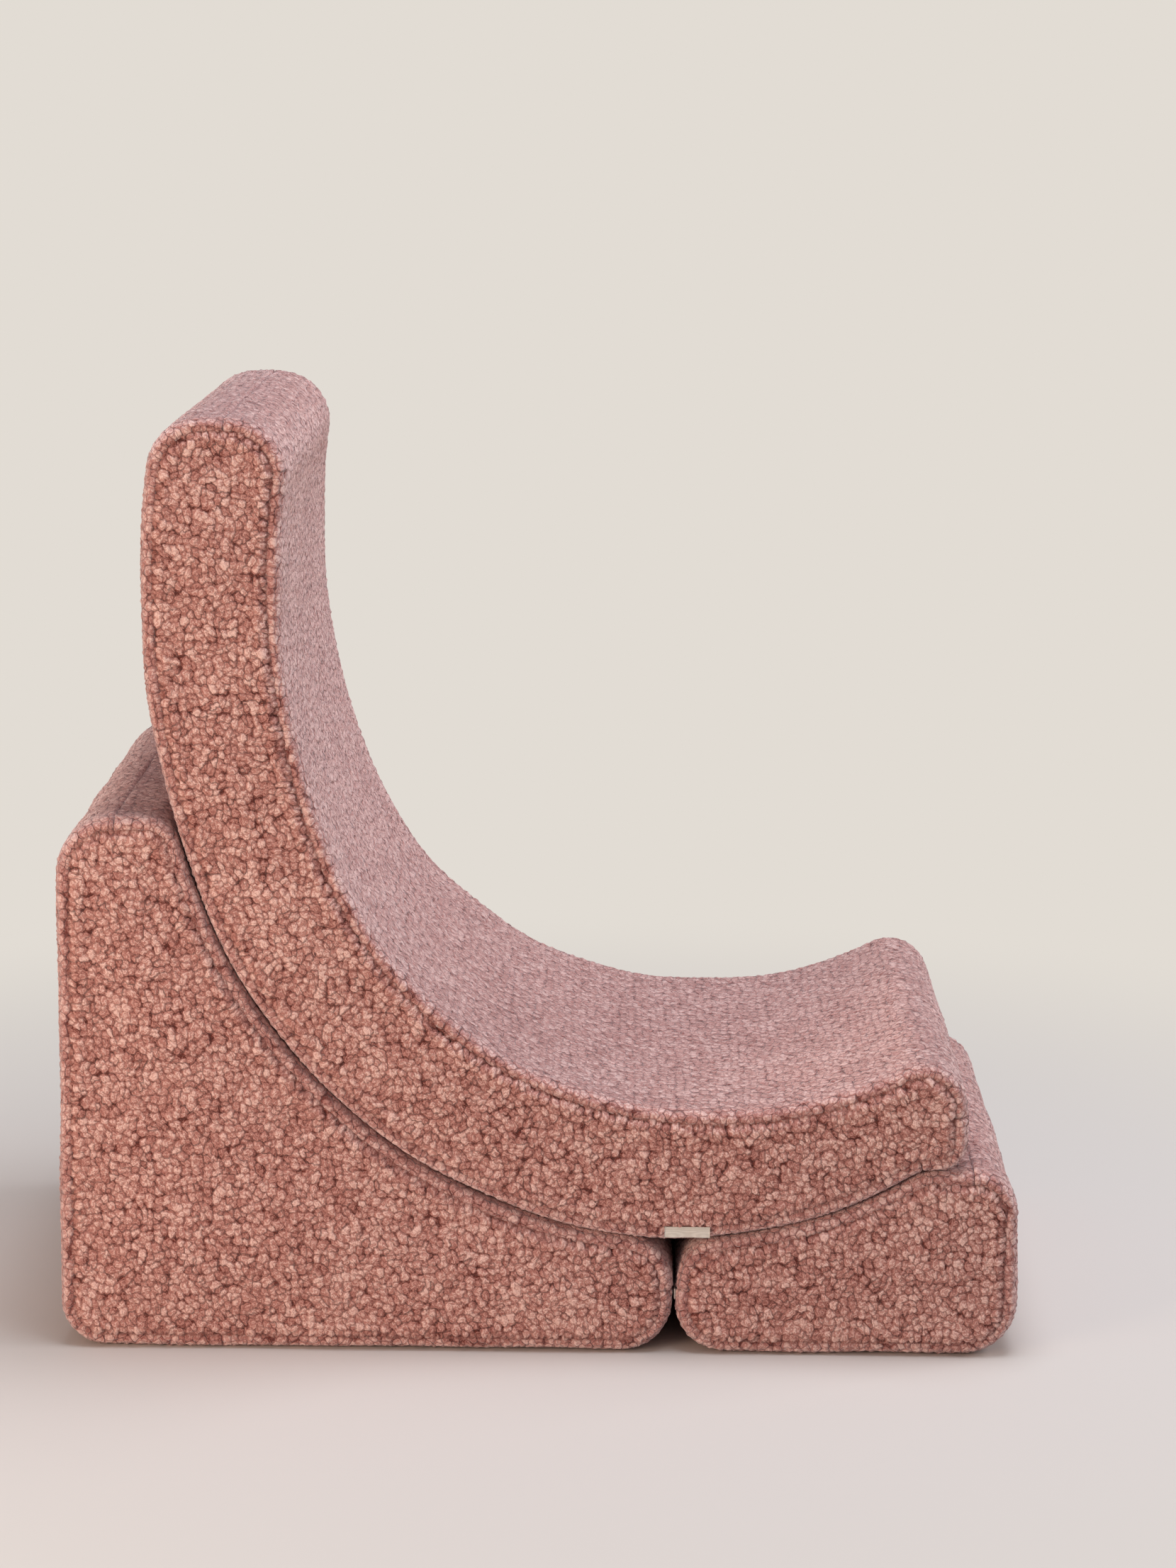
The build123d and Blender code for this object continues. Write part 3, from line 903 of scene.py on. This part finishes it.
def looped_cloth(name, shaded_gap, body, lit_tip, fuzz, spacing=None):
    """Looped pile: painted shade between the curls, painted highlight at their tips, with swirled yarn in
    each.
    """
    cloth = new_finish(name)
    pile, tint, (inside, inside_y) = painted_curls(cloth, spacing) if spacing else modelled_curls(cloth)
    seam = cloth.mark("seam")
    wander = cloth.noise(0.0021, 2.0, 0.6)
    yarn = cloth.noise(0.0010, 3.0, 1.2)
    patches = cloth.noise(0.09)
    # The strands paint highlight and shade arcs onto the swirled yarn in each curl. They also raise its
    # bumps.
    spiral = inside_y.angle_to(inside) * 2 + (inside * inside + inside_y * inside_y) * 5
    strands = (spiral + wander * 11 + tint * 40).sine() * 0.5 + 0.5
    # The shade value comes from the pile's height: painted shade low in the gaps between the curls and
    # painted highlight on their tips. It is mixed with the yarn, the random tint of each curl and slow
    # patches.
    shade = pile * 0.85 + (strands - 0.5) * 0.30 + (yarn - 0.5) * 0.55
    shade = shade + (tint - 0.5) * 0.20 + (patches - 0.5) * 0.22
    lower = cloth.mix(cloth.between(0.10, 0.55, shade), shaded_gap, body)
    colour = cloth.mix(cloth.between(0.50, 0.95, shade), lower, lit_tip)
    # Painted shade in the seams' grooves: near a seam the colour darkens towards the colour of the shaded
    # gaps.
    seam_shade = cloth.between(0.30, 1.0, seam + (yarn - 0.5) * 0.5)
    colour = cloth.mix(seam_shade * 0.45, colour, shaded_gap)
    relief = strands * 0.35 + yarn * 0.7
    relief = relief + pile * 3.0 if spacing else relief
    return cloth.close(
        colour,
        cloth.bump(relief, 0.0008),
        Roughness=0.92,
        Specular_IOR_Level=0.12,
        Sheen_Weight=fuzz,
        Sheen_Roughness=0.45,
        Sheen_Tint=linear(242, 222, 220),
    )


def cut_foam():
    """Open-cell foam: small round cells, a little yellowed."""
    foam = new_finish("foam")
    cells = foam.node("ShaderNodeTexVoronoi", {}, {"Vector": foam.place(), "Scale": 900.0}, "Distance")
    clouds = foam.noise(0.06)
    colour = foam.mix(foam.between(0.1, 0.7, cells), linear(196, 184, 150), linear(240, 233, 212))
    colour = foam.mix(clouds * 0.3, colour, linear(232, 218, 180))
    return foam.close(colour, foam.bump(cells, 0.0006), Roughness=0.95, Specular_IOR_Level=0.15)


def woven(name, dark, light, thread):
    """A plain weave of fine threads, seen on whatever face it lies."""
    cloth = new_finish(name)
    settings = {"wave_type": "BANDS", "wave_profile": "SIN"}
    threads = []
    for direction in ("X", "Y", "Z"):
        wave = {"Vector": cloth.place(), "Scale": 0.314 / thread, "Distortion": 0.6, "Detail": 1.0}
        threads.append(cloth.node("ShaderNodeTexWave", dict(settings, bands_direction=direction), wave, 1))
    weave = (threads[0] + threads[1] + threads[2]) / 3
    slub = cloth.noise(0.004, 3.0)
    colour = cloth.mix(cloth.between(0.2, 0.8, weave * 0.8 + slub * 0.3), dark, light)
    return cloth.close(
        colour, cloth.bump(weave, 0.00025), Roughness=0.82, Specular_IOR_Level=0.25, Sheen_Weight=0.15
    )


def nylon():
    """Dyed nylon wire: smooth, faintly waxy."""
    coil = new_finish("zip_nylon")
    mottle = coil.noise(0.003)
    colour = coil.mix(mottle, linear(184, 128, 120), linear(206, 152, 143))
    return coil.close(colour, coil.bump(mottle, 0.00008), Roughness=0.38 + 0.12 * mottle)


def lacquered_zinc():
    """Lacquered zinc: a thin pink coat, rubbed a little where it is handled."""
    metal = new_finish("zip_lacquer")
    edge = metal.node("ShaderNodeNewGeometry", {}, {}, "Pointiness")
    grain = metal.noise(0.0012, 3.0)
    rubbed = metal.between(0.53, 0.60, edge + (grain - 0.5) * 0.05) * 0.6
    colour = metal.mix(rubbed, linear(178, 122, 114), linear(205, 186, 178))
    return metal.close(
        colour, metal.bump(grain, 0.00004), Roughness=0.30 + 0.18 * grain, Metallic=rubbed, Coat_Weight=0.3
    )


# The cloth of each surface: whether its curls are modelled, how far apart they or its bumps lie,
# their relief, the slow swell, the ridge beside a seam, the finest step and the seed of its draws
curly = {"modelled": True, "spacing": 0.0056, "relief": 0.0026, "swell": 0.0010, "ridge": 0.0009}
near_side = dict(curly, step=0.0009, seed=11)
far_side = dict(curly, step=0.0015, seed=23)
smooth = {"modelled": False, "spacing": 0.0062, "relief": 0.0020, "swell": 0.0010, "ridge": 0.0007}
shown_band = dict(smooth, step=0.0016)
lain_band = dict(smooth, step=0.0026)
painted_spacing = 0.0066

# Each cloth gets three colours: its gaps' painted shade, its body, and its tips' painted highlight. The
# bands' colours are a touch paler than the sides', as painted light from above.
panel_cloth = looped_cloth(
    "looped_cloth_sides", linear(106, 50, 43), linear(188, 131, 121), linear(238, 198, 187), 0.25
)
band_cloth = looped_cloth(
    "looped_cloth_bands",
    linear(114, 56, 50),
    linear(190, 134, 126),
    linear(238, 200, 191),
    0.9,
    painted_spacing,
)
foam_finish = cut_foam()
tape_finish = woven("zip_tape", linear(168, 112, 104), linear(198, 144, 134), 0.0006)
label_finish = woven("label_cloth", linear(204, 196, 184), linear(232, 226, 215), 0.0005)
coil_finish = nylon()
metal_finish = lacquered_zinc()
finishes = {
    "foam": foam_finish,
    "zip_tape": tape_finish,
    "zip_coil": coil_finish,
    "zip_metal": metal_finish,
    "label_cloth": label_finish,
    "looped_cloth": band_cloth,
}


def dress(piece, body, node, finish):
    """Put a piece in its CAD node's place, on its body and with its finish."""
    piece.data.materials.append(finish)
    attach(piece, body)
    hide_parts(node)


def dress_padded(piece, body, finish):
    """A padded piece of a cover, which replaces the node of its own name."""
    dress(piece, body, piece.name.removesuffix("_cloth"), finish)


def label_pocket(ground, inset, side):
    """Where the moon's cover lies flat behind its woven label."""
    near = np.abs(ground[..., 0] - moon_label_forward) < label_length / 2 + label_slack
    return near & (inset > pocket_inset) & (side < 0)


def make_bands(module, outline, others, bands):
    """The bands round a module, each between its two seams, with any zip and label pocket."""
    for name, ends, cloth, slot_at, pocket in bands:
        band = make_band(f"{module}_{name}_cloth", outline, others, ends, cloth, slot_at, pocket)
        dress_padded(band, module, band_cloth)


def make_moon():
    """The crescent's cover, with its top seam at the middle of its thickness."""
    top_spoke = back_centre + (back_outer_radius - moon_thickness / 2) * unit(top_seam_angle)
    knee = moon.where(knee_x, nose_under_height)
    nose = moon.where(nose_x, nose_seam_height)
    top = moon.where(*top_spoke)
    zip_at = moon.where(*zip_places["moon"][0])
    bands = (
        ("seat_band", (nose, top), dict(shown_band, seed=31), None, None),
        ("nose_band", (knee, nose), dict(shown_band, seed=37), None, None),
        ("base_band", (top, knee), dict(shown_band, seed=41), zip_at, label_pocket),
    )
    make_bands("moon", moon, [rear_wedge, front_wedge], bands)


def make_rear_wedge():
    """The rear wedge's cover."""
    crest = rear_wedge.where(rear_x + rear_crest_seam, rear_wedge_height)
    toe = rear_wedge.where(low_x - toe_gap / 2, toe_seam_height)
    zip_at = rear_wedge.where(*zip_places["rear_wedge"][0])
    bands = (
        ("cradle_band", (toe, crest), dict(lain_band, seed=47), None, None),
        ("base_band", (crest, toe), dict(shown_band, seed=53), zip_at, None),
    )
    make_bands("rear_wedge", rear_wedge, [moon, front_wedge], bands)


def make_front_wedge():
    """The front wedge's cover."""
    crest = front_wedge.where(front_x - front_crest_seam, front_wedge_height)
    toe = front_wedge.where(low_x + toe_gap / 2, toe_seam_height)
    zip_at = front_wedge.where(*zip_places["front_wedge"][0])
    bands = (
        ("cradle_band", (crest, toe), dict(lain_band, seed=59), None, None),
        ("base_band", (toe, crest), dict(shown_band, seed=61), zip_at, None),
    )
    make_bands("front_wedge", front_wedge, [moon, rear_wedge], bands)


def make_side_panels():
    """Both side panels of each module."""
    for name, outline in (("moon", moon), ("rear_wedge", rear_wedge), ("front_wedge", front_wedge)):
        for side_name, side, cloth in (("right", -1, near_side), ("left", 1, far_side)):
            panel = make_panel(f"{name}_{side_name}_side_panel_cloth", outline, side, cloth)
            dress_padded(panel, name, panel_cloth)


def make_zips():
    """The coils of the three zips; their other pieces keep the CAD's shapes."""
    for name, place in zip_places.items():
        coils = make_coils(f"{name}_zip_coils", place)
        dress(coils, name, f"{name}_zip_chain", coil_finish)


def make_labels():
    """The two bare woven labels."""
    fold = low_point_height + seam_inset + label_tuck
    corner = (label_stand_off - side_x, label_length / 2 - moon_label_forward, fold)
    across, down = (0, -label_length, 0), (0, 0, -label_drop)
    ribbon = make_ribbon("moon_woven_label", corner, across, down, (-1, 0, 0), label_bulge)
    dress(ribbon, "moon", "moon_label", label_finish)
    low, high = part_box("front_wedge_label")
    corner = (low.x, (low.y + high.y) / 2, high.z)
    across = (label_length, 0, 0)
    ribbon = make_ribbon("front_wedge_woven_label", corner, across, down, (0, 1, 0), 0)
    dress(ribbon, "front_wedge", "front_wedge_label", label_finish)


def finish_carried_nodes():
    """Give each piece that keeps its CAD shape the finish of its slot."""
    slots = {part["node"]: part["material_slot"] for part in frame["record"]["subparts"]}
    for name, node in frame["nodes"].items():
        for material_slot in node.material_slots:
            material_slot.material = finishes[slots[name]]


# The stage

backdrop_colour = linear(226, 220, 212)
floor_colour = linear(212, 206, 199)
floor_reach = 40.0
floor_fades_from = 0.45
floor_gone_by = 1.4
sky_colour = linear(235, 235, 240)
sky_strength = 0.34
light_target = (0, 0, 0.3)

# The lights, cool from above, warm from behind and plain from in front: place, size, watts, colour
lights = {
    "top_light": ((-0.2, -0.3, 3.0), 1.6, 62, (240, 244, 255)),
    "rear_light": ((-1.5, 1.3, 0.4), 0.9, 21, (255, 224, 200)),
    "front_light": ((0.3, -2.8, 1.8), 1.8, 36, (248, 244, 248)),
}

# The camera, solved from the photo's perspective
camera_place = (-3.2934, -0.0615, 1.001)
camera_yaw = 0.499
camera_pitch = 10.242
camera_roll = 0.521
camera_lens = 94.39
camera_sensor = 36.0


def add_light(name, place, size, watts, colour):
    """A soft square light that faces the chair."""
    lamp = bpy.data.lights.new(name, "AREA")
    lamp.shape = "SQUARE"
    lamp.size = size
    lamp.energy = watts
    lamp.color = linear(*colour)[:3]
    light = bpy.data.objects.new(name, lamp)
    light.location = place
    towards = Vector(light_target) - light.location
    light.rotation_euler = towards.to_track_quat("-Z", "Y").to_euler()
    bpy.context.scene.collection.objects.link(light)


def make_lights():
    """All the lights."""
    for name, (place, size, watts, colour) in lights.items():
        add_light(name, place, size, watts, colour)


def make_floor():
    """A pale floor that runs out into the background."""
    mesh = bpy.data.meshes.new("studio_floor")
    corners = [(x * floor_reach, y * floor_reach, 0) for x, y in ((-1, -1), (1, -1), (1, 1), (-1, 1))]
    mesh.from_pydata(corners, [], [(0, 1, 2, 3)])
    floor = bpy.data.objects.new("studio_floor", mesh)
    bpy.context.scene.collection.objects.link(floor)
    paint = new_finish("studio_floor")
    distance = paint.node("ShaderNodeVectorMath", {"operation": "LENGTH"}, {0: paint.place()}, "Value")
    share = paint.between(floor_fades_from, floor_gone_by, distance)
    lit = paint.node("ShaderNodeBsdfDiffuse", {}, {"Color": floor_colour})
    far = paint.node("ShaderNodeEmission", {}, {"Color": backdrop_colour})
    mesh.materials.append(paint.surface(paint.node("ShaderNodeMixShader", {}, {0: share, 1: lit, 2: far})))


def make_world():
    """Even light from all round, with a pale backdrop where it is seen."""
    sky = Finish(bpy.data.worlds.new("studio"), "ShaderNodeOutputWorld")
    to_camera = sky.node("ShaderNodeLightPath", {}, {}, "Is Camera Ray")
    either = to_camera.maths("MAXIMUM", to_camera, to_camera.other("Is Glossy Ray"))
    light = sky.node("ShaderNodeBackground", {}, {"Color": sky_colour, "Strength": sky_strength})
    seen = sky.node("ShaderNodeBackground", {}, {"Color": backdrop_colour})
    mixed = sky.node("ShaderNodeMixShader", {}, {0: either, 1: light, 2: seen})
    bpy.context.scene.world = sky.surface(mixed)


def make_camera():
    """A long lens 3 m from the chair's right side, a little above it and turned as the photo."""
    yaw, pitch, roll = (math.radians(angle) for angle in (camera_yaw, camera_pitch, camera_roll))
    level = Vector((math.cos(yaw), math.sin(yaw), 0))
    forward = math.cos(pitch) * level - Vector((0, 0, math.sin(pitch)))
    right = Vector((math.sin(yaw), -math.cos(yaw), 0))
    up = right.cross(forward)
    turned_right = math.cos(roll) * right + math.sin(roll) * up
    turned_up = -math.sin(roll) * right + math.cos(roll) * up
    data = bpy.data.cameras.new("photo_camera")
    data.sensor_width = camera_sensor
    data.lens = camera_lens
    data.clip_start = 0.05
    data.clip_end = 200.0
    camera = bpy.data.objects.new("photo_camera", data)
    turn = Matrix((turned_right, turned_up, -forward)).transposed().to_4x4()
    camera.matrix_world = Matrix.Translation(camera_place) @ turn
    bpy.context.scene.collection.objects.link(camera)
    bpy.context.scene.camera = camera


make_camera()
make_world()
make_lights()
make_floor()
make_moon()
make_rear_wedge()
make_front_wedge()
make_side_panels()
make_zips()
make_labels()
finish_carried_nodes()

bpy.context.scene.view_settings.view_transform = "Standard"
